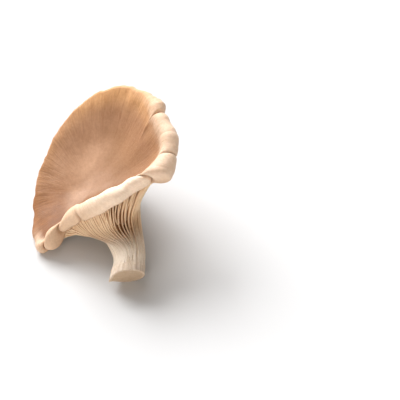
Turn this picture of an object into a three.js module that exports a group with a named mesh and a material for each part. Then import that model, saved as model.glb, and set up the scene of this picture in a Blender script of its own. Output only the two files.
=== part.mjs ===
// An oyster mushroom (Pleurotus), picked and lying on a table, in millimetres with +Z up.
//
// It is one fruit body: a cut stem, a gilled underside and a lopsided funnel cap with a curled margin,
// all one flesh, so it is one closed solid. The stem lies along Y with its cut foot towards -Y, and
// the cap opens upwards and to the left.
// Its skin is made of meridians. Each runs from the floor of the funnel out over the cap, round the
// bead of the margin, back along the underside to the throat and the neck, and down the stem to the
// middle of the cut.
import * as THREE from "three";

const FUNNEL_FLOOR = new THREE.Vector3(-21, 54, 17); // deepest point of the cap's upper side
const CAP_AXIS = new THREE.Vector3(-0.5, -0.15, 0.85).normalize(); // the way the cap opens

// The margin is a bead of flesh, anticlockwise from above, starting over the stem.
// at: centre of the bead. radius: of the bead. join, leave: where the upper side meets the bead and
// where the underside leaves it, in degrees round the bead from its top, outwards and down.
const MARGIN = [
  { at: [-9, 26, 41], radius: 5.2, join: -50, leave: 220 },
  { at: [2, 30, 45], radius: 5.2, join: -50, leave: 220 },
  { at: [11, 34, 49], radius: 5.5, join: -50, leave: 220 },
  { at: [19, 35, 52], radius: 7, join: -45, leave: 215 },
  { at: [25, 46, 56], radius: 5, join: -40, leave: 210 },
  { at: [25.5, 56, 59.5], radius: 4.5, join: -40, leave: 200 },
  { at: [21, 68, 61], radius: 4, join: -35, leave: 200 },
  { at: [19, 79, 61], radius: 4, join: -25, leave: 190 },
  { at: [11, 91, 59], radius: 2.5, join: -20, leave: 180 },
  { at: [-2, 100, 54.5], radius: 1.8, join: -15, leave: 180 },
  { at: [-16, 100, 48], radius: 1.8, join: -15, leave: 180 },
  { at: [-28, 96.5, 40], radius: 1.8, join: -15, leave: 180 },
  { at: [-38, 90, 31], radius: 1.8, join: -15, leave: 180 },
  { at: [-45, 81, 22], radius: 1.8, join: -15, leave: 180 },
  { at: [-50, 71, 14], radius: 1.8, join: -15, leave: 180 },
  { at: [-53, 59, 7], radius: 1.8, join: -10, leave: 180 },
  { at: [-53.5, 45.4, 3.5], radius: 2, join: 0, leave: 180 },
  { at: [-51.5, 30.8, 3], radius: 2.5, join: 0, leave: 180 },
  { at: [-47.5, 22, 3.5], radius: 3.5, join: 0, leave: 200 },
  { at: [-41, 24.5, 9], radius: 5, join: -20, leave: 215 },
  { at: [-32, 29.5, 19], radius: 5, join: -45, leave: 220 },
  { at: [-21, 27, 30], radius: 5.2, join: -50, leave: 220 },
];

// The throat, where the underside draws in to the stem, in eighths of a turn from over the stem.
const THROAT = [
  [-8, 25, 18],
  [5, 32, 19.5],
  [8.5, 49, 16],
  [2, 66, 8],
  [-12, 73, 1.5],
  [-25.5, 66, -0.5],
  [-31, 46, 3],
  [-24, 28, 8],
];

// Rings that the stem passes through. Each is an ellipse, given by its centre and by the way from there
// to its right side and to its upper side, the one under the front of the cap.
const NECK = ring({ centre: [2.4, 11, 10.2], right: [9.3, 1, 0], upper: [0, -2.4, 9.6] });
const FOOT = ring({ centre: [2, -3, 8.8], right: [9.6, 1, 0], upper: [0, -2.5, 8.9] });

// How hard a meridian's curve holds its direction at each end of the cap, as a part of the cap's reach.
const FLOOR_HOLD = 0.45;
const MARGIN_HOLD = 0.3;

const COLUMNS = 72; // meridians round the body
const STEPS = { cap: 12, bead: 6, underside: 8, throat: 6, stem: 5, cut: 2 }; // faces along a meridian

const FLESH = new THREE.MeshStandardMaterial({ color: 0xc79a72, roughness: 0.75, metalness: 0 });

function ring({ centre, right, upper }) {
  return {
    centre: new THREE.Vector3(...centre),
    right: new THREE.Vector3(...right),
    upper: new THREE.Vector3(...upper),
  };
}

// A point on a ring: turn 0 is its upper side, and the turn runs with the margin.
function onRing({ centre, right, upper }, turn) {
  const angle = 2 * Math.PI * turn;
  return centre.clone().addScaledVector(right, Math.sin(angle)).addScaledVector(upper, Math.cos(angle));
}

// Values listed at equal steps round the body, read smoothly at a turn of 0 to 1.
function around(points) {
  const curve = new THREE.CatmullRomCurve3(points, true, "catmullrom");
  return (turn) => curve.getPoint(turn);
}

const beadCentre = around(MARGIN.map(({ at }) => new THREE.Vector3(...at)));
const beadShape = around(MARGIN.map(({ radius, join, leave }) => new THREE.Vector3(radius, join, leave)));
const throat = around(THROAT.map((at) => new THREE.Vector3(...at)));

// From the floor of the funnel up to the margin.
function upperSide(out, reach, join, margin) {
  const rise = THREE.MathUtils.degToRad(-join);
  const arriving = out
    .clone()
    .multiplyScalar(Math.cos(rise))
    .addScaledVector(CAP_AXIS, Math.sin(rise));
  return new THREE.CubicBezierCurve3(
    FUNNEL_FLOOR,
    FUNNEL_FLOOR.clone().addScaledVector(out, FLOOR_HOLD * reach),
    margin.clone().addScaledVector(arriving, -MARGIN_HOLD * reach),
    margin,
  ).getPoints(STEPS.cap);
}

// From the bead back to the throat, the neck and the foot. The bead's last step only sets the way it starts.
function lowerSide(bead, turn) {
  const knots = [...bead.slice(-2), throat(turn), onRing(NECK, turn), onRing(FOOT, turn)];
  const curve = new THREE.CatmullRomCurve3(knots);
  const spans = knots.length - 1;
  return [STEPS.underside, STEPS.throat, STEPS.stem].flatMap((steps, span) =>
    Array.from({ length: steps }, (_, i) => curve.getPoint((span + 1 + (i + 1) / steps) / spans)),
  );
}

function meridian(turn) {
  const centre = beadCentre(turn);
  const { x: radius, y: join, z: leave } = beadShape(turn);
  const out = centre.clone().sub(FUNNEL_FLOOR);
  const reach = out.length();
  out.addScaledVector(CAP_AXIS, -out.dot(CAP_AXIS)).normalize();

  const bead = Array.from({ length: STEPS.bead + 1 }, (_, i) => {
    const angle = THREE.MathUtils.degToRad(join + ((leave - join) * i) / STEPS.bead);
    return centre
      .clone()
      .addScaledVector(CAP_AXIS, radius * Math.cos(angle))
      .addScaledVector(out, radius * Math.sin(angle));
  });
  const cut = new THREE.LineCurve3(onRing(FOOT, turn), FOOT.centre).getPoints(STEPS.cut);

  return [...upperSide(out, reach, join, bead[0]), ...bead.slice(1), ...lowerSide(bead, turn), ...cut.slice(1)];
}

// A sphere's grid gives the faces, and its points are moved onto the meridians.
function mushroomGeometry() {
  const meridians = Array.from({ length: COLUMNS }, (_, i) => meridian(i / COLUMNS));
  const rings = meridians[0].length - 1;
  const skin = new THREE.SphereGeometry(1, COLUMNS, rings);
  const position = skin.getAttribute("position");
  for (let row = 0; row <= rings; row++) {
    for (let column = 0; column <= COLUMNS; column++) {
      const point = meridians[column % COLUMNS][row];
      const z = Math.max(point.z, 0); // the flesh is flattened where it lies on the table
      position.setXYZ(row * (COLUMNS + 1) + column, point.x, point.y, z);
    }
  }
  skin.computeVertexNormals();
  return skin;
}

const mushroom = new THREE.Mesh(mushroomGeometry(), FLESH);
mushroom.name = "mushroom";

// The origin is at the middle of the bounding box, on the table.
mushroom.geometry.computeBoundingBox();
const { min, max } = mushroom.geometry.boundingBox;
mushroom.position.set(-(min.x + max.x) / 2, -(min.y + max.y) / 2, -min.z);

const oysterMushroom = new THREE.Group();
oysterMushroom.add(mushroom);

export default oysterMushroom;
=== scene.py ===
import math
from types import SimpleNamespace

import bpy
import numpy as np
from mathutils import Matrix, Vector, noise


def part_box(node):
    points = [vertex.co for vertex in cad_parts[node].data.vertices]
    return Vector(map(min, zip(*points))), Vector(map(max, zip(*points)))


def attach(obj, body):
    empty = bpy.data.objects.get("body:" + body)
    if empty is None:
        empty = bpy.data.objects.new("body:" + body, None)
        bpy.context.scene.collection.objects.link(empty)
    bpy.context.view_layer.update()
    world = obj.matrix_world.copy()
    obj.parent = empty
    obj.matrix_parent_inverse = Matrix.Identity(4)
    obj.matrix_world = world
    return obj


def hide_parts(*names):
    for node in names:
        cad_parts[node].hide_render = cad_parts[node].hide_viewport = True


# The looks of a picked oyster mushroom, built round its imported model.
#
# The skin follows the same meridians as the CAD solid: from the floor of the funnel over the cap, round
# the bead of the margin, back along the underside to the throat and the neck, and down the stem to the
# middle of the cut. Two pieces replace the solid: the body, whose flesh is cut back under the cap, and
# the gills, which fill that room again up to the skin.
# The shape is in its own millimetres, as in the CAD source; settle() brings it into the frame's metres.
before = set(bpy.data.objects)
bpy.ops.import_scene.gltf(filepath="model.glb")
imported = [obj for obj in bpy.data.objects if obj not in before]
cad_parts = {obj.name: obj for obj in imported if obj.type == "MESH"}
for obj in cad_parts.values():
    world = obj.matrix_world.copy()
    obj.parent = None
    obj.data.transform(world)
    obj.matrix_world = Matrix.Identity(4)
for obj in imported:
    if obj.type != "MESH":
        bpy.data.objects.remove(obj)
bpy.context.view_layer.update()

MM = 0.001
NODE = "mushroom"
BODY = "root"

# ---------------------------------------------------------------------------------------------------
# The shape, in millimetres, as the CAD solid has it
# ---------------------------------------------------------------------------------------------------
FUNNEL_FLOOR = np.array([-21.0, 54.0, 17.0])
CAP_AXIS = np.array([-0.5, -0.15, 0.85]) / np.linalg.norm([-0.5, -0.15, 0.85])

# The bead of the margin, anticlockwise from above, starting over the stem: its centre, its radius, and
# where the upper side meets it and the underside leaves it, in degrees from its top.
MARGIN = np.array([
    # x, y, z, radius, join, leave
    [-9, 26, 41, 5.2, -50, 220],
    [2, 30, 45, 5.2, -50, 220],
    [11, 34, 49, 5.5, -50, 220],
    [19, 35, 52, 7, -45, 215],
    [25, 46, 56, 5, -40, 210],
    [25.5, 56, 59.5, 4.5, -40, 200],
    [21, 68, 61, 4, -35, 200],
    [19, 79, 61, 4, -25, 190],
    [11, 91, 59, 2.5, -20, 180],
    [-2, 100, 54.5, 1.8, -15, 180],
    [-16, 100, 48, 1.8, -15, 180],
    [-28, 96.5, 40, 1.8, -15, 180],
    [-38, 90, 31, 1.8, -15, 180],
    [-45, 81, 22, 1.8, -15, 180],
    [-50, 71, 14, 1.8, -15, 180],
    [-53, 59, 7, 1.8, -10, 180],
    [-53.5, 45.4, 3.5, 2, 0, 180],
    [-51.5, 30.8, 3, 2.5, 0, 180],
    [-47.5, 22, 3.5, 3.5, 0, 200],
    [-41, 24.5, 9, 5, -20, 215],
    [-32, 29.5, 19, 5, -45, 220],
    [-21, 27, 30, 5.2, -50, 220],
], float)

THROAT = np.array([
    [-8, 25, 18],
    [5, 32, 19.5],
    [8.5, 49, 16],
    [2, 66, 8],
    [-12, 73, 1.5],
    [-25.5, 66, -0.5],
    [-31, 46, 3],
    [-24, 28, 8],
], float)

# Rings of the stem: centre, the way to its right side, the way to its upper side.
NECK = np.array([[2.4, 11, 10.2], [9.3, 1, 0], [0, -2.4, 9.6]], float)
FOOT = np.array([[2, -3, 8.8], [9.6, 1, 0], [0, -2.5, 8.9]], float)

FLOOR_HOLD = 0.45
MARGIN_HOLD = 0.3

# Rows of faces along a meridian, and meridians round the body.
STEPS = {"cap": 44, "bead": 24, "underside": 24, "throat": 16, "stem": 22, "cut": 6}
COLUMNS = 720

# Creases across the rolled margin: place in stations of MARGIN, depth of the cut in mm and its width in
# stations, how far the margin draws back there in mm and over what width, and how far round the bead
# the crease starts.
CREASES = [
    (6.42, 1.9, 0.06, 2.4, 0.15, 0.0),
    (3.95, 1.1, 0.05, 0.3, 0.15, 0.0),
    (2.06, 2.4, 0.07, 0.9, 0.15, 0.0),
    (20.6, 2.4, 0.06, 0.6, 0.14, 0.4),
    (19.55, 2.8, 0.08, 1.8, 0.16, 0.0),
    (18.48, 2.2, 0.08, 1.2, 0.13, 0.0),
    (0.9, 0.25, 0.1, 0.0, 0.1, 0.0),
    (5.1, 0.25, 0.05, 0.0, 0.1, 0.0),
    (3.2, 0.3, 0.08, 0.0, 0.2, 0.0),
    (7.3, 0.4, 0.06, 0.4, 0.15, 0.0),
]
# Swellings between the creases: place, height in mm, width in stations.
LOBES = [
    (3.1, 0.9, 0.5),
    (5.2, 0.6, 0.6),
    (7.0, 0.9, 0.35),
    (17.95, 0.8, 0.3),
    (18.98, 1.7, 0.33),
    (20.1, 0.2, 0.36),
    (21.4, 0.5, 0.4),
    (0.4, 0.9, 0.5),
    (1.5, 0.4, 0.3),
]
# Where the margin leans out (or in, if negative): place, mm, width in stations.
LEANS = [(7.5, -1.6, 0.7), (6.8, -1.2, 0.3), (14.3, 0.9, 1.0)]
# Where the underside sags beside the lobes, and where it is tucked in under the front roll: place, mm
# outwards, width in stations.
BELLY = (19.1, 1.5, 0.65)
TUCK = (21.6, -1.3, 2.2)

# The cut is torn to a point at its left end: where, in turns, and how far it reaches, in mm.
FOOT_TIP_TURN = 0.76
FOOT_TIP_WIDTH = 0.07
FOOT_TIP = np.array([-1.2, -0.4, -4.2])

GILL_DEPTH = 3.0
# Along the underside, how far out the gills reach their depth, and how much later beside the lobes.
GILL_ONSET = 0.14
LATE_ONSET = 0.25
LATE_GILLS = (20.9, 1.7)
# How much of their depth the gills lose along the underside and along the throat.
UNDERSIDE_LOSS = 0.45
THROAT_LOSS = 0.62
# The gills take at most this share of the flesh between them and the cap.
FLESH_SHARE = 0.42
# How much shallower the gills are on the left of the stem, as a share of their depth.
SHALLOW_GILLS = 0.8
SHALLOW_PLACE = (19.9, 2.3)
# How much deeper they are under the front roll.
DEEP_GILLS = 0.4
DEEP_PLACE = (1.7, 1.5)
GILL_SPACING = 1.0
GILLS_ON_STEM = 28
GILL_ROOT = 0.4
# How far the flesh between the gills stays off the table where they are pressed flat on it.
FLAT_GAP = 0.6
# Across a gill, from its left foot over its edge to its right foot: half-widths and share of the height.
GILL_SECTION = [(-1, 0), (-0.8, 0.5), (-0.55, 0.87), (0, 1), (0.55, 0.87), (0.8, 0.5), (1, 0)]

# Bumps of the skin: how far across and how high they are, in mm.
HEAVE = (24, 0.9)
BUMPS = (9, 0.6)
PIMPLES = (2.6, 0.06)
CUT_BUMPS = (3.5, 0.35)
# Ribs of the cap along the meridians: how fine, their least height and what is added at the back, in mm.
RIBS_FINE = 9
RIBS_LEAST = 0.12
RIBS_MORE = 0.25
RIBS_CALM_PLACE = (2.0, 6.5)
# Ridges of the stem, and the margin's long waves and short ones: how fine and how high, in mm.
STEM_RIDGES = (7, 0.3)
WAVES = (5, 1.6)
SHORT_WAVES = (15, 0.8)
# The margin waves less at the front: by what share, and where.
CALM = 0.9
CALM_PLACE = (0.8, 5.5)

# Where the skin's colour changes: place and width in stations of MARGIN.
FRONT_ROLL = (0.6, 4.6)
LOBED_ROLL = (18.8, 1.7)
RIGHT_LOBE = (3.1, 0.75)
BACK_RIM = (8.9, 2.3)
LOW_LEFT = (18.6, 4.3)
LOW_FRONT = (21.4, 4.2)
BLOOM_LEFT = (13.4, 3.9)
BLOOM_BACK = (10.2, 1.6)
RIGHT_SIDE = (5.4, 2.4)
LOBES_SIDE = (19.5, 1.9)

rng = np.random.default_rng(7)


def unit(v):
    return v / np.maximum(np.linalg.norm(v, axis=-1, keepdims=True), 1e-12)


def smooth(low, high, x):
    t = np.clip((x - low) / (high - low), 0.0, 1.0)
    return t * t * (3 - 2 * t)


def around(values, turn):
    """Values listed at equal steps round the body, read by a closed Catmull-Rom curve."""
    count = len(values)
    x = (turn % 1.0) * count
    i = np.floor(x).astype(int)
    f = (x - i)[..., None]
    a, b, c, d = (values[(i + k) % count] for k in (-1, 0, 1, 2))
    return b + 0.5 * f * ((c - a) + f * ((2 * a - 5 * b + 4 * c - d) + f * (3 * (b - c) + d - a)))


def on_ring(ring, turn):
    angle = 2 * np.pi * turn[:, None]
    return ring[0] + ring[1] * np.sin(angle) + ring[2] * np.cos(angle)


def between(a, b, c, d, f):
    """A centripetal Catmull-Rom span from b to c, with a before it and d after it."""

    def gap(p, q):
        return np.sqrt(np.linalg.norm(q - p, axis=-1, keepdims=True))

    g0, g1, g2 = gap(a, b), gap(b, c), gap(c, d)
    start = ((b - a) / g0 - (c - a) / (g0 + g1) + (c - b) / g1) * g1
    end = ((c - b) / g1 - (d - b) / (g1 + g2) + (d - c) / g2) * g1
    return (
        b * (2 * f**3 - 3 * f**2 + 1)
        + start * (f**3 - 2 * f**2 + f)
        + c * (-2 * f**3 + 3 * f**2)
        + end * (f**3 - f**2)
    )


def bead_frame(turn):
    values = around(MARGIN, turn)
    centre, radius, join, leave = values[:, :3], values[:, 3:4], values[:, 4:5], values[:, 5:6]
    out = centre - FUNNEL_FLOOR
    reach = np.linalg.norm(out, axis=1, keepdims=True)
    out = unit(out - (out @ CAP_AXIS)[:, None] * CAP_AXIS)

    def on_bead(degrees):
        angle = np.radians(degrees)
        return centre + radius * (np.cos(angle) * CAP_AXIS + np.sin(angle) * out)

    return out, reach, join, leave, on_bead


def meridians(turn):
    """Points of the plain skin, as rows x meridians x 3, with each row's zone and how far along it is."""
    out, reach, join, leave, on_bead = bead_frame(turn)
    rows, zones = [], []

    def add(zone, along, points):
        rows.append(points)
        zones.append((zone, along))

    margin = on_bead(join)
    rise = np.radians(-join)
    arriving = np.cos(rise) * out + np.sin(rise) * CAP_AXIS
    a, b = FUNNEL_FLOOR, FUNNEL_FLOOR + FLOOR_HOLD * reach * out
    c = margin - MARGIN_HOLD * reach * arriving
    for i in range(STEPS["cap"] + 1):
        f = i / STEPS["cap"]
        add("cap", f, a * (1 - f) ** 3 + 3 * b * f * (1 - f) ** 2 + 3 * c * f**2 * (1 - f) + margin * f**3)
    for i in range(1, STEPS["bead"] + 1):
        f = i / STEPS["bead"]
        add("bead", f, on_bead(join + (leave - join) * f))

    knots = [
        on_bead(leave - (leave - join) / 6),
        on_bead(leave),
        around(THROAT, turn),
        on_ring(NECK, turn),
        on_ring(FOOT, turn),
    ]
    knots.append(2 * knots[4] - knots[3])
    for span, zone in enumerate(("underside", "throat", "stem")):
        for i in range(1, STEPS[zone] + 1):
            f = i / STEPS[zone]
            add(zone, f, between(*knots[span : span + 4], f))
    for i in range(1, STEPS["cut"] + 1):
        f = i / STEPS["cut"]
        add("cut", f, knots[4] * (1 - f) + FOOT[0] * f)
    return np.array(rows), zones


# ---------------------------------------------------------------------------------------------------
# The detail on the skin
# ---------------------------------------------------------------------------------------------------
def apart(station, place):
    """How far a station is from a place on the margin, the short way round."""
    half = len(MARGIN) / 2
    return (station - place + half) % (2 * half) - half


def near(station, place, width, power=2):
    """1 at a place on the margin, falling to 0 on either side, flatter and steeper with more power."""
    return np.exp(-np.abs(apart(station, place) / width) ** power)[None, :]


def noise_at(points, size, seed):
    """Smooth noise of about -1 to 1 whose bumps are about size across."""
    flat = points.reshape(-1, 3) / size + seed * 17.3
    return np.array([noise.noise(Vector(p)) for p in flat]).reshape(points.shape[:-1])


def normals_of(grid):
    """Outward normals of a skin of rows x meridians."""
    along = np.gradient(grid, axis=0)
    across = np.roll(grid, -1, axis=1) - np.roll(grid, 1, axis=1)
    normal = np.cross(along, across)
    length = np.linalg.norm(normal, axis=2, keepdims=True)
    normal = normal / np.maximum(length, 1e-9)
    normal[0] = CAP_AXIS
    normal[-1] = unit(np.cross(FOOT[2], FOOT[1]))
    return normal


def in_zone(zones, name):
    """For each row, how far along the named zone it is: 0 before it and 1 after it."""
    order = list(STEPS)
    place = order.index(name)
    return np.array([
        f if zone == name else float(order.index(zone) > place) for zone, f in zones
    ])[:, None]


def gill_depth(zones, skin, station):
    """How far the flesh lies behind the gills' edges, for each point of the skin."""
    under, throat, stem = (in_zone(zones, zone) for zone in ("underside", "throat", "stem"))
    onset = GILL_ONSET + LATE_ONSET * near(station, *LATE_GILLS, 4)
    depth = GILL_DEPTH * smooth(0.0, onset, under) * (1 - UNDERSIDE_LOSS * smooth(0.4, 1.0, under))
    depth = depth * (1 - THROAT_LOSS * smooth(0.0, 0.8, throat)) * (1 - smooth(0.0, 0.75, stem))
    first = sum(STEPS[zone] for zone in ("cap", "bead"))
    last = first + STEPS["underside"]
    cap = skin[: STEPS["cap"] + 1 : 2]
    shallower = 1 - SHALLOW_GILLS * near(station, *SHALLOW_PLACE, 4)
    deeper = 1 + DEEP_GILLS * near(station, *DEEP_PLACE, 4)
    result = depth * shallower * deeper
    for row in range(first, last + 1):
        flesh = np.linalg.norm(cap - skin[row], axis=2).min(axis=0)
        result[row] = np.minimum(result[row], FLESH_SHARE * flesh)
    return result


def polar_noise(turn, rounds, along, seed):
    """Noise drawn out along the meridians: rounds sets how fine it is round the body."""
    angle = 2 * np.pi * turn[None, :]
    points = np.broadcast_arrays(np.cos(angle) * rounds, np.sin(angle) * rounds, along)
    return noise_at(np.stack(points, axis=-1), 1.0, seed)


def calm_front(station):
    """How much the margin may wave: less than 1 along the front roll."""
    return 1 - CALM * near(station, *CALM_PLACE, 4)


def bumps(skin, size_and_height, seed):
    size, height = size_and_height
    return noise_at(skin, size, seed) * height


def margin_relief(station, zones):
    """How far the lobes stand out from the plain skin and the creases cut into it, in mm."""
    cap, bead, under = (in_zone(zones, zone) for zone in ("cap", "bead", "underside"))
    before_gills = 1 - smooth(0.0, 0.3, under)
    crease = sum(
        deep * near(station, at, wide, 1) * smooth(start - 0.3, start + 0.1, bead)
        for at, deep, wide, _, _, start in CREASES
    )
    lobe = sum(high * near(station, at, wide) for at, high, wide in LOBES)
    lift = lobe * smooth(0.9, 1.0, cap) * before_gills
    return lift - crease * (smooth(0.78, 1.0, cap) * before_gills) ** 2


def surface_relief(skin, turn, station, zones):
    """How far bumps, ribs, the sag and the tuck lift the skin, in mm."""
    cap, bead, under, throat, stem, cut = (in_zone(zones, zone) for zone in STEPS)
    lift = bumps(skin, HEAVE, 1) * smooth(0.1, 0.5, cap) * (1 - under) * calm_front(station)
    lift = lift + bumps(skin, BUMPS, 2) * smooth(0.5, 1.0, cap) * (1 - under)
    lift = lift + BELLY[1] * near(station, BELLY[0], BELLY[2]) * smooth(0.1, 0.5, under) * (1 - throat)
    tuck = TUCK[1] * near(station, TUCK[0], TUCK[2], 4)
    lift = lift + tuck * smooth(0.5, 0.85, bead) * (1 - smooth(0, 0.6, under))
    lift = lift + bumps(skin, PIMPLES, 3) * (1 - under)
    ribs = polar_noise(turn, RIBS_FINE, cap * 1.2, 4)
    ribs = ribs * smooth(0.35, 0.95, cap) * (1 - smooth(0, 0.4, bead))
    lift = lift + ribs * (RIBS_LEAST + RIBS_MORE * (1 - near(station, *RIBS_CALM_PLACE, 4)))
    fine, high = STEM_RIDGES
    lift = lift + polar_noise(turn, fine, stem * 0.7, 8) * high * stem * (1 - cut)
    return lift + bumps(skin, CUT_BUMPS, 9) * smooth(0.2, 0.9, cut)


def margin_wander(turn, station, zones):
    """How far the margin strays outwards, in mm: its waves, its leans and the notches at its creases."""
    cap, under = (in_zone(zones, zone) for zone in ("cap", "underside"))
    retreat = sum(far * near(station, at, wide, 1.3) for at, _, _, far, wide, _ in CREASES)
    level = np.zeros_like(cap)
    waves = polar_noise(turn, WAVES[0], level, 5) * WAVES[1]
    wander = waves + polar_noise(turn, SHORT_WAVES[0], level, 6) * SHORT_WAVES[1]
    lean = sum(far * near(station, at, wide) for at, far, wide in LEANS)
    wander = wander * calm_front(station) - retreat + lean
    return wander * smooth(0.6, 1.0, cap) * (1 - smooth(0, 0.5, under))


def detailed_skin():
    """The skin with its lobes, creases and ripples. The gills' edges and the body's flesh follow it."""
    turn = np.arange(COLUMNS) / COLUMNS
    skin, zones = meridians(turn)
    normal = normals_of(skin)
    station = turn * len(MARGIN)
    stem, cut = (in_zone(zones, zone) for zone in ("stem", "cut"))
    lift = margin_relief(station, zones) + surface_relief(skin, turn, station, zones)
    wander = margin_wander(turn, station, zones)
    torn = np.exp(-np.abs((turn - FOOT_TIP_TURN) / FOOT_TIP_WIDTH) ** 1.3)[None, :]
    tip = torn * smooth(0.2, 1.0, stem) * (1 - cut)
    skin = skin + bead_frame(turn)[0][None] * wander[..., None] + normal * lift[..., None]
    skin = skin + FOOT_TIP * tip[..., None]
    return skin, normals_of(skin), zones, station


# ---------------------------------------------------------------------------------------------------
# Meshes
# ---------------------------------------------------------------------------------------------------
def settle(points, lowest):
    """Points in the frame's metres. No point is lower than its own value in lowest, in mm."""
    points = points.copy()
    points[..., 2] = np.maximum(points[..., 2], lowest)
    return points * MM + SHIFT


def new_piece(name, points, lowest, faces, values, material):
    mesh = bpy.data.meshes.new(name)
    mesh.from_pydata(settle(points, lowest).tolist(), [], faces)
    for key, value in values.items():
        many = value.ndim == 2
        layer = mesh.attributes.new(key, "FLOAT_VECTOR" if many else "FLOAT", "POINT")
        layer.data.foreach_set("vector" if many else "value", value.astype(np.float32).ravel())
    mesh.polygons.foreach_set("use_smooth", [True] * len(mesh.polygons))
    mesh.materials.append(material)
    mesh.update()
    piece = bpy.data.objects.new(name, mesh)
    bpy.context.scene.collection.objects.link(piece)
    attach(piece, BODY)
    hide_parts(NODE)
    return piece


def closed(grid):
    """The points of a grid whose first and last rows each meet in one point."""
    return np.concatenate([grid[0, :1], grid[1:-1].reshape((-1,) + grid.shape[2:]), grid[-1, :1]])


def closed_faces(rows):
    """Faces of a closed grid: fans of triangles at its two ends, and quads between them."""
    index = np.zeros((rows, COLUMNS), int)
    index[1:-1] = 1 + np.arange((rows - 2) * COLUMNS).reshape(rows - 2, COLUMNS)
    index[-1] = index[-2, -1] + 1
    beside = np.roll(index, -1, axis=1)
    corners = np.stack([index[:-1], index[1:], beside[1:], beside[:-1]], axis=-1)
    return [list(dict.fromkeys(face)) for face in corners.reshape(-1, 4).tolist()]


def colour_places(station, cap):
    """Where each colour shows, 0 to 1, over the whole skin."""
    roll = np.maximum(near(station, *FRONT_ROLL, 4), 0.8 * near(station, *LOBED_ROLL, 4))
    low_left = near(station, *LOW_LEFT, 6) * smooth(0.2, 0.5, cap)
    low_front = near(station, *LOW_FRONT, 4) * smooth(0.02, 0.28, cap)
    bloom_left = near(station, *BLOOM_LEFT, 4) * np.exp(-(((cap - 0.42) / 0.42) ** 4))
    bloom_back = near(station, *BLOOM_BACK, 4) * np.exp(-(((cap - 0.34) / 0.15) ** 2))
    return {
        "front": roll * (1 - 0.4 * near(station, *RIGHT_LOBE, 4)),
        "back": near(station, *BACK_RIM, 4),
        "low": np.maximum(low_left, low_front),
        "bloom": bloom_left + 0.6 * bloom_back,
        "right": near(station, *RIGHT_SIDE, 4),
        "lobes": near(station, *LOBES_SIDE, 4),
    }


def body_piece(skin, normal, depth, zones, station):
    cap, bead, under = (in_zone(zones, zone) for zone in ("cap", "bead", "underside"))
    throat, stem, cut = (in_zone(zones, zone) for zone in ("throat", "stem", "cut"))
    angle = 2 * np.pi * station / len(MARGIN)
    length = np.cumsum(np.linalg.norm(np.diff(skin, axis=0, prepend=skin[:1]), axis=2), axis=0)
    fields = {
        "radial": cap,
        "bead": bead,
        **colour_places(station, cap),
        "under": smooth(0, 0.06, under),
        "stem": 0.35 * throat + 0.65 * stem,
        "cut": smooth(0.0, 0.15, cut),
        # How deep the flesh lies behind the gills; it sets the painted shade between them.
        "recess": depth / GILL_DEPTH,
        # Where painted shade darkens the deep creases of the margin.
        "crease": sum(
            near(station, at, 0.8 * wide) * smooth(start - 0.3, start + 0.1, bead)
            for at, deep, wide, _, _, start in CREASES
            if deep > 1
        ),
        "grain": np.stack(np.broadcast_arrays(np.cos(angle), np.sin(angle), length / 10), axis=-1),
    }
    shape = skin.shape[:2]
    values = {k: closed(np.broadcast_to(v, shape + v.shape[2:])) for k, v in fields.items()}
    flesh = skin - normal * depth[..., None]
    lowest = FLAT_GAP * smooth(0.05, 0.4, closed(depth))
    return new_piece("fruit_body", closed(flesh), lowest, closed_faces(len(skin)), values, skin_material())


def gill_runs(skin):
    """Each gill's turn, first row, last row and where along it its edge starts to sink into the flesh.

    Shorter gills fill in where the long ones spread.
    """
    first = STEPS["cap"] + STEPS["bead"]
    last = first + STEPS["underside"] + STEPS["throat"] + int(0.75 * STEPS["stem"])
    spread = np.linalg.norm(np.roll(skin, -1, axis=1) - skin, axis=2) * COLUMNS
    runs = []
    for level in range(4):
        count = GILLS_ON_STEM * 2 ** max(level - 1, 0)
        for i in range(count):
            turn = (i + (0.5 if level else 0) + rng.uniform(-0.12, 0.12)) / count % 1.0
            end = last - int(rng.integers(0, STEPS["stem"] // 2))
            if level:
                gap = spread[first:last, int(turn * COLUMNS)] / count
                wide = np.flatnonzero(gap > GILL_SPACING * rng.uniform(1.7, 2.3))
                end = first + int(wide.max(initial=0))
            if end - first > 6:
                runs.append((turn, first, end, 0.5 if level else 0.82))
    return runs


def gills_piece(skin, normal, depth, zones):
    across = unit(np.roll(skin, -1, axis=1) - np.roll(skin, 1, axis=1))
    stem = (0.35 * in_zone(zones, "throat") + 0.65 * in_zone(zones, "stem"))[:, 0]
    points, faces, edge, low = [], [], [], []
    sides = len(GILL_SECTION)
    for turn, first, end, fade in gill_runs(skin):
        rows = slice(first, end + 1)
        count = end + 1 - first
        left = int(turn * COLUMNS)
        part = turn * COLUMNS - left

        def at_turn(grid):
            return grid[rows, left] * (1 - part) + grid[rows, (left + 1) % COLUMNS] * part

        way, out, room = at_turn(across), at_turn(normal), at_turn(depth)
        f = np.linspace(0, 1, count)
        height = room * np.minimum(smooth(0, 0.06, f), 1 - smooth(fade, 1.0, f))
        sway = 0.22 * np.sin(f * rng.uniform(5, 11) + rng.uniform(0, 6.3)) * smooth(0, 0.3, f)
        foot = at_turn(skin) - out * room[:, None] + way * sway[:, None]
        half = rng.uniform(0.85, 1.15) * (0.46 + 0.3 * smooth(0.45, 0.9, f))
        start = len(points)
        for side, rise in GILL_SECTION:
            up = rise * height - (GILL_ROOT if rise == 0 else 0)
            points.extend(foot + way * (side * half)[:, None] + out * up[:, None])
            edge.extend(np.full(count, float(rise)))
            low.extend(stem[rows])
        ring = start + np.arange(sides)[:, None] * count
        here = ring + np.arange(count - 1)[None]
        after = np.roll(here, -1, axis=0)
        faces.extend(np.stack([here, here + 1, after + 1, after], axis=-1).reshape(-1, 4).tolist())
        faces.append(ring[:, 0].tolist())
        faces.append((ring[::-1, 0] + count - 1).tolist())
    values = {"edge": np.array(edge), "stem": np.array(low)}
    lowest = (FLAT_GAP + GILL_ROOT) * (1 - np.array(edge))
    return new_piece("gills", np.array(points), lowest, faces, values, gill_material())


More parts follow.
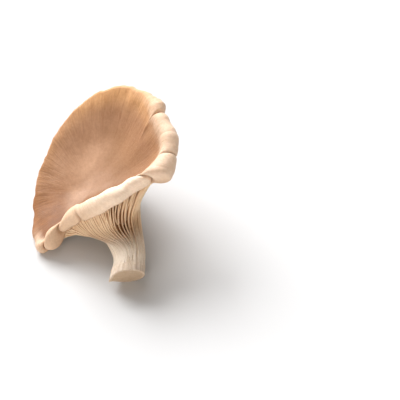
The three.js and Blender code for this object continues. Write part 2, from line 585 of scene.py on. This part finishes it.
# ---------------------------------------------------------------------------------------------------
# Materials
# ---------------------------------------------------------------------------------------------------
def tone(red, green, blue):
    """A colour as it looks on a screen, 0 to 255, as the linear one that a shader takes."""
    c = np.array([red, green, blue]) / 255
    linear = np.where(c <= 0.04045, c / 12.92, ((c + 0.055) / 1.055) ** 2.4)
    return (*linear.tolist(), 1.0)


class Shading:
    """A material's nodes, added one by one. A value may be a number, a colour or another node's output."""

    def __init__(self, name):
        self.material = bpy.data.materials.new(name)
        self.material.use_nodes = True
        self.tree = self.material.node_tree
        self.shader = self.tree.nodes["Principled BSDF"]

    def put(self, socket, value):
        if isinstance(value, bpy.types.NodeSocket):
            self.tree.links.new(value, socket)
        else:
            socket.default_value = value

    def attribute(self, name, output="Fac"):
        node = self.tree.nodes.new("ShaderNodeAttribute")
        node.attribute_name = name
        return node.outputs[output]

    def math(self, operation, a, b=0.0):
        node = self.tree.nodes.new("ShaderNodeMath")
        node.operation = operation
        self.put(node.inputs[0], a)
        self.put(node.inputs[1], b)
        return node.outputs[0]

    def rise(self, value, low, high, to_low=0.0, to_high=1.0):
        """value brought from low..high to to_low..to_high, smoothly and held at both ends."""
        node = self.tree.nodes.new("ShaderNodeMapRange")
        node.interpolation_type = "SMOOTHSTEP"
        for socket, number in zip(node.inputs, (value, low, high, to_low, to_high)):
            self.put(socket, number)
        return node.outputs[0]

    def mix(self, factor, a, b, blend="MIX"):
        node = self.tree.nodes.new("ShaderNodeMix")
        node.data_type = "RGBA"
        node.blend_type = blend
        for name, value in (("Factor_Float", factor), ("A_Color", a), ("B_Color", b)):
            self.put(next(s for s in node.inputs if s.identifier == name), value)
        return next(s for s in node.outputs if s.identifier == "Result_Color")

    def ramp(self, value, stops):
        node = self.tree.nodes.new("ShaderNodeValToRGB")
        node.color_ramp.interpolation = "EASE"
        elements = node.color_ramp.elements
        while len(elements) < len(stops):
            elements.new(0.5)
        for element, (place, colour) in zip(elements, stops):
            element.position = place
            element.color = colour
        self.put(node.inputs[0], value)
        return node.outputs[0]

    def noise(self, vector, scale, detail=2.0, roughness=0.5):
        node = self.tree.nodes.new("ShaderNodeTexNoise")
        values = {"Vector": vector, "Scale": scale, "Detail": detail, "Roughness": roughness}
        for name, value in values.items():
            self.put(node.inputs[name], value)
        return node.outputs["Fac"]

    def stretched(self, vector, factors):
        node = self.tree.nodes.new("ShaderNodeVectorMath")
        node.operation = "MULTIPLY"
        self.put(node.inputs[0], vector)
        self.put(node.inputs[1], factors)
        return node.outputs[0]

    def place(self):
        return self.tree.nodes.new("ShaderNodeTexCoord").outputs["Object"]

    def bump(self, height, distance, under=None):
        node = self.tree.nodes.new("ShaderNodeBump")
        self.put(node.inputs["Height"], height)
        node.inputs["Distance"].default_value = distance
        if under is not None:
            self.put(node.inputs["Normal"], under)
        return node.outputs["Normal"]

    def finish(self, colour, roughness, normal):
        self.put(self.shader.inputs["Base Color"], colour)
        self.put(self.shader.inputs["Roughness"], roughness)
        self.put(self.shader.inputs["Normal"], normal)
        self.shader.inputs["Specular IOR Level"].default_value = FLESH_SPECULAR
        self.shader.inputs["Subsurface Weight"].default_value = FLESH_GLOW
        self.shader.inputs["Subsurface Radius"].default_value = FLESH_GLOW_COLOUR
        self.shader.inputs["Subsurface Scale"].default_value = FLESH_GLOW_REACH
        return self.material


def skin_patterns(s):
    """What the skin's colour, roughness and bumps share: where a point is, and the noises."""
    radial, bead = s.attribute("radial"), s.attribute("bead")
    grain = s.attribute("grain", "Vector")
    place = s.place()
    uncut = s.math("SUBTRACT", 1.0, s.attribute("cut"))
    on_stem = s.math("MULTIPLY", s.rise(s.attribute("stem"), 0.3, 0.6), uncut)
    return SimpleNamespace(
        radial=radial,
        bead=bead,
        streaky=s.math("MULTIPLY", s.rise(radial, 0.15, 0.85), s.rise(bead, 0.0, 0.5, 1.0, 0.25)),
        on_stem=on_stem,
        streaks=s.noise(s.stretched(grain, (48, 48, 0.9)), 1.0, 3.0, 0.6),
        fibrils=s.noise(s.stretched(grain, (100, 100, 2.5)), 1.0, 2.0, 0.6),
        fibres=s.noise(s.stretched(grain, (26, 26, 0.5)), 1.0, 3.0, 0.65),
        blotches=s.noise(place, 55, 3.0, 0.55),
        mottle=s.noise(place, 650, 3.0, 0.65),
    )


def cap_colour(s, p, wavy):
    """The upper side: ragged rings of colour, a golden back rim, a pale bloom, a darker left, and painted
    light on the right and back walls.
    """
    ragged = s.math("ADD", p.radial, wavy)
    ragged = s.math("ADD", ragged, s.math("MULTIPLY", s.math("SUBTRACT", p.blotches, 0.5), 0.35))
    colour = s.ramp(ragged, CAP_COLOURS)
    back = s.math("MULTIPLY", s.attribute("back"), s.rise(p.radial, 0.75, 0.98))
    colour = s.mix(s.math("MULTIPLY", back, 0.85), colour, CAP_GOLD)
    bloom = s.math("MULTIPLY", s.attribute("bloom"), s.rise(p.blotches, 0.22, 0.6, 0.15, 0.9))
    colour = s.mix(bloom, colour, CAP_BLOOM)
    colour = s.mix(s.attribute("low"), colour, LOW_TINT, "MULTIPLY")
    # Painted light: the right and back walls lightened a little towards the rim.
    painted_light_walls = s.math("MAXIMUM", s.attribute("back"), s.attribute("right"))
    return s.mix(s.math("MULTIPLY", painted_light_walls, s.rise(p.radial, 0.6, 0.9, 0, 0.15)), colour, CAP_PAINTED_LIGHT)


def margin_colour(s, p, wavy, colour):
    """The pale roll of the margin, with painted shade below it and in its creases."""
    soft = s.math("ADD", p.radial, s.math("MULTIPLY", wavy, 0.2))
    colour = s.mix(s.math("MULTIPLY", s.attribute("front"), s.rise(soft, 0.83, 1.0)), colour, ROLL)
    colour = s.mix(s.math("MULTIPLY", s.rise(p.bead, 0.1, 0.6), 0.5), colour, ROLL)
    # Painted shade on the underside of the bead, where it faces down.
    colour = s.mix(s.rise(p.bead, 0.42, 0.95, 0.0, 0.9), colour, ROLL_UNDER_SHADE)
    on_lobes = s.math("MULTIPLY", s.attribute("lobes"), s.rise(p.radial, 0.85, 1.0, 0, 0.75))
    colour = s.mix(on_lobes, colour, LOBE)
    on_right = s.math("MULTIPLY", s.attribute("right"), s.rise(p.radial, 0.9, 1.0, 0, 0.7))
    colour = s.mix(on_right, colour, RIGHT_EDGE)
    # Painted shade in the deep creases of the margin.
    crease_shade_mask = s.math("MULTIPLY", s.attribute("crease"), s.rise(p.radial, 0.88, 1.0, 0.0, 0.5))
    return s.mix(crease_shade_mask, colour, CREASE_SHADE)


def lower_colour(s, p, colour):
    """The flesh between the gills with painted shade in the gaps, the fibrous stem, and the cut, its
    colour darkened with painted shade.
    """
    stem = s.attribute("stem")
    colour = s.mix(s.attribute("under"), colour, UNDER)
    # Painted shade in the gaps between the gills, darker the deeper the flesh lies.
    colour = s.mix(s.rise(s.attribute("recess"), 0.15, 0.75, 0, 0.85), colour, GILL_GAP_SHADE)
    colour = s.mix(s.rise(stem, 0.05, 0.3), colour, STEM)
    colour = s.mix(s.rise(stem, 0.7, 1.0), colour, STEM_FOOT)
    fibrous = s.ramp(p.fibres, [(0.3, FIBRE_DARK), (0.62, STREAK_LIGHT)])
    colour = s.mix(p.on_stem, colour, fibrous, "MULTIPLY")
    # The cut's beige flesh colour, darkened with painted shade where it faces down.
    return s.mix(s.attribute("cut"), colour, CUT_FLESH_AND_SHADE)


def streaked_colour(s, p, colour):
    """The fine radial streaks of the cap, and a mottle over everything."""
    streaked = s.ramp(p.streaks, [(0.25, STREAK_DARK), (0.7, STREAK_LIGHT)])
    colour = s.mix(p.streaky, colour, streaked, "MULTIPLY")
    fibrillar = s.ramp(p.fibrils, [(0.25, STREAK_DARK), (0.7, STREAK_LIGHT)])
    colour = s.mix(s.math("MULTIPLY", p.streaky, 0.7), colour, fibrillar, "MULTIPLY")
    mottled = s.ramp(p.mottle, [(0.32, STREAK_DARK), (0.66, STREAK_LIGHT)])
    return s.mix(0.6, colour, mottled, "MULTIPLY")


def skin_material():
    s = Shading("mushroom_skin")
    p = skin_patterns(s)
    wavy = s.math("MULTIPLY", s.math("SUBTRACT", p.streaks, 0.5), s.math("MULTIPLY", p.streaky, 0.25))
    colour = margin_colour(s, p, wavy, cap_colour(s, p, wavy))
    colour = streaked_colour(s, p, lower_colour(s, p, colour))
    normal = s.bump(s.math("MULTIPLY", p.streaks, p.streaky), 0.2 * MM)
    normal = s.bump(s.math("MULTIPLY", p.fibrils, p.streaky), 0.12 * MM, normal)
    normal = s.bump(s.math("MULTIPLY", p.fibres, p.on_stem), 0.5 * MM, normal)
    normal = s.bump(p.mottle, 0.08 * MM, normal)
    return s.finish(colour, s.rise(p.blotches, 0.3, 0.7, 0.5, 0.68), normal)


def gill_material():
    s = Shading("mushroom_gills")
    edge, stem = s.attribute("edge"), s.attribute("stem")
    place = s.place()
    mottle = s.noise(place, 700, 2.0)
    blotches = s.noise(place, 90, 2.0)
    # Painted shade: the gills darken from their edges down to their feet.
    colour = s.mix(s.rise(edge, 0.0, 0.9), GILL_FOOT_SHADE, GILL_EDGE)
    colour = s.mix(s.rise(stem, 0.04, 0.28), colour, STEM)
    colour = s.mix(0.8, colour, s.ramp(blotches, [(0.3, STREAK_DARK), (0.7, STREAK_LIGHT)]), "MULTIPLY")
    colour = s.mix(0.4, colour, s.ramp(mottle, [(0.3, STREAK_DARK), (0.7, STREAK_LIGHT)]), "MULTIPLY")
    return s.finish(colour, s.rise(blotches, 0.3, 0.7, 0.5, 0.65), s.bump(mottle, 0.05 * MM))


CAP_CENTRE = tone(176, 138, 110)
CAP_INNER = tone(165, 125, 93)
CAP_MIDDLE = tone(168, 126, 92)
CAP_DARK = tone(174, 131, 98)
CAP_OUTER = tone(180, 137, 101)
CAP_RIM = tone(196, 150, 110)
# The cap's colours from its centre to its rim, each with its share of the way.
CAP_COLOURS = [
    (0.0, CAP_CENTRE),
    (0.25, CAP_INNER),
    (0.45, CAP_MIDDLE),
    (0.66, CAP_DARK),
    (0.84, CAP_OUTER),
    (1.0, CAP_RIM),
]
CAP_BLOOM = tone(210, 169, 138)
CAP_GOLD = tone(220, 170, 118)
# Painted light on the right and back walls of the cap.
CAP_PAINTED_LIGHT = tone(186, 138, 98)
LOW_TINT = tone(188, 162, 124)
ROLL = tone(244, 222, 200)
# Painted shade: the underside of the roll, darker where it faces down.
ROLL_UNDER_SHADE = tone(190, 148, 108)
LOBE = tone(222, 188, 156)
RIGHT_EDGE = tone(228, 200, 174)
# Painted shade in the creases of the margin.
CREASE_SHADE = tone(150, 104, 70)
UNDER = tone(234, 204, 170)
# Painted shade: the flesh deep in the gaps between the gills.
GILL_GAP_SHADE = tone(148, 92, 42)
# Painted shade: the gills near their feet.
GILL_FOOT_SHADE = tone(186, 128, 76)
GILL_EDGE = tone(246, 220, 188)
STEM = tone(244, 227, 207)
STEM_FOOT = tone(230, 214, 197)
# The cut: its beige flesh colour, darkened with painted shade where it faces down.
CUT_FLESH_AND_SHADE = tone(186, 163, 138)
FIBRE_DARK = tone(222, 208, 192)
STREAK_DARK = tone(238, 233, 228)
STREAK_LIGHT = tone(255, 255, 255)
# The flesh's shine, and the light that glows through it: how much, its colour and its reach in metres.
FLESH_SPECULAR = 0.3
FLESH_GLOW = 0.12
FLESH_GLOW_COLOUR = (1.0, 0.6, 0.35)
FLESH_GLOW_REACH = 2.5 * MM


# ---------------------------------------------------------------------------------------------------
# The studio
# ---------------------------------------------------------------------------------------------------
CAMERA_RISE = math.radians(50)
CAMERA_DISTANCE = 900
VIEW_WIDTH = 228
# Where the camera looks, from the foot of the stem: to its right and up in its own view.
AIM = (42.75, 46.2)


# Each sun: where it shines from, its strength, how many degrees wide its soft disc is, and its colour.
SUNS = {
    "left": ((-0.85, 0.9, 0.8), 3.3, 32, (0.99, 1.0, 1.02)),
    "back": ((-0.2, 1.0, 0.77), 3.3, 32, (0.99, 1.0, 1.02)),
    "top": ((-0.3, 0.4, 1.1), 0.75, 50, (0.99, 1.0, 1.02)),
    "front": ((-0.45, -0.9, 0.26), 1.5, 50, (1.0, 0.92, 0.84)),
    "right": ((0.6, -0.75, 0.35), 0.9, 50, (1.0, 0.92, 0.84)),
}
SKY_STRENGTH = 0.1
FLOOR_HALF = 30.0  # in metres
FLOOR_COLOUR = (0.63, 0.63, 0.63, 1)
SKY_COLOUR = (1.0, 0.91, 0.82, 1.0)


def floor_and_light():
    floor_mesh = bpy.data.meshes.new("floor")
    corners = [(x * FLOOR_HALF, y * FLOOR_HALF, 0) for x, y in ((-1, -1), (1, -1), (1, 1), (-1, 1))]
    floor_mesh.from_pydata(corners, [], [(0, 1, 2, 3)])
    paper = bpy.data.materials.new("white_paper")
    paper.use_nodes = True
    shader = paper.node_tree.nodes["Principled BSDF"]
    shader.inputs["Base Color"].default_value = FLOOR_COLOUR
    shader.inputs["Roughness"].default_value = 0.9
    shader.inputs["Specular IOR Level"].default_value = 0.1
    floor_mesh.materials.append(paper)
    floor = bpy.data.objects.new("floor", floor_mesh)
    bpy.context.scene.collection.objects.link(floor)

    world = bpy.data.worlds.new("studio")
    world.use_nodes = True
    world.node_tree.nodes["Background"].inputs["Color"].default_value = SKY_COLOUR
    world.node_tree.nodes["Background"].inputs["Strength"].default_value = SKY_STRENGTH
    bpy.context.scene.world = world
    bpy.context.scene.view_settings.view_transform = "Standard"
    for name, (source, strength, spread, colour) in SUNS.items():
        light = bpy.data.lights.new(name, "SUN")
        light.energy = strength
        light.color = colour
        light.angle = math.radians(spread)
        sun = bpy.data.objects.new(name, light)
        sun.rotation_mode = "QUATERNION"
        sun.rotation_quaternion = (-Vector(source)).to_track_quat("-Z", "Y")
        bpy.context.scene.collection.objects.link(sun)


def camera():
    right = np.array([1.0, 0, 0])
    up = np.array([0, math.sin(CAMERA_RISE), math.cos(CAMERA_RISE)])
    back = np.array([0, -math.cos(CAMERA_RISE), math.sin(CAMERA_RISE)])
    aim = right * AIM[0] + up * AIM[1]
    data = bpy.data.cameras.new("camera")
    data.lens = data.sensor_width * CAMERA_DISTANCE / VIEW_WIDTH
    viewer = bpy.data.objects.new("camera", data)
    viewer.location = (aim + back * CAMERA_DISTANCE) * MM + SHIFT
    viewer.rotation_mode = "QUATERNION"
    viewer.rotation_quaternion = Vector(-back).to_track_quat("-Z", "Y")
    bpy.context.scene.collection.objects.link(viewer)
    bpy.context.scene.camera = viewer


def shift_into_frame():
    """From the shape's own origin to the frame's, in metres: the plain skin's box is the CAD node's."""
    plain = meridians(np.arange(COLUMNS) / COLUMNS)[0].reshape(-1, 3)
    plain[:, 2] = np.maximum(plain[:, 2], 0)
    low, high = (np.array(corner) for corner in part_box(NODE))
    shift = (low + high) / 2 - (plain.min(axis=0) + plain.max(axis=0)) / 2 * MM
    shift[2] = low[2] - plain[:, 2].min() * MM
    return shift


SHIFT = shift_into_frame()
camera()
floor_and_light()
skin, normal, zones, station = detailed_skin()
depth = gill_depth(zones, skin, station)
body_piece(skin, normal, depth, zones, station)
gills_piece(skin, normal, depth, zones)
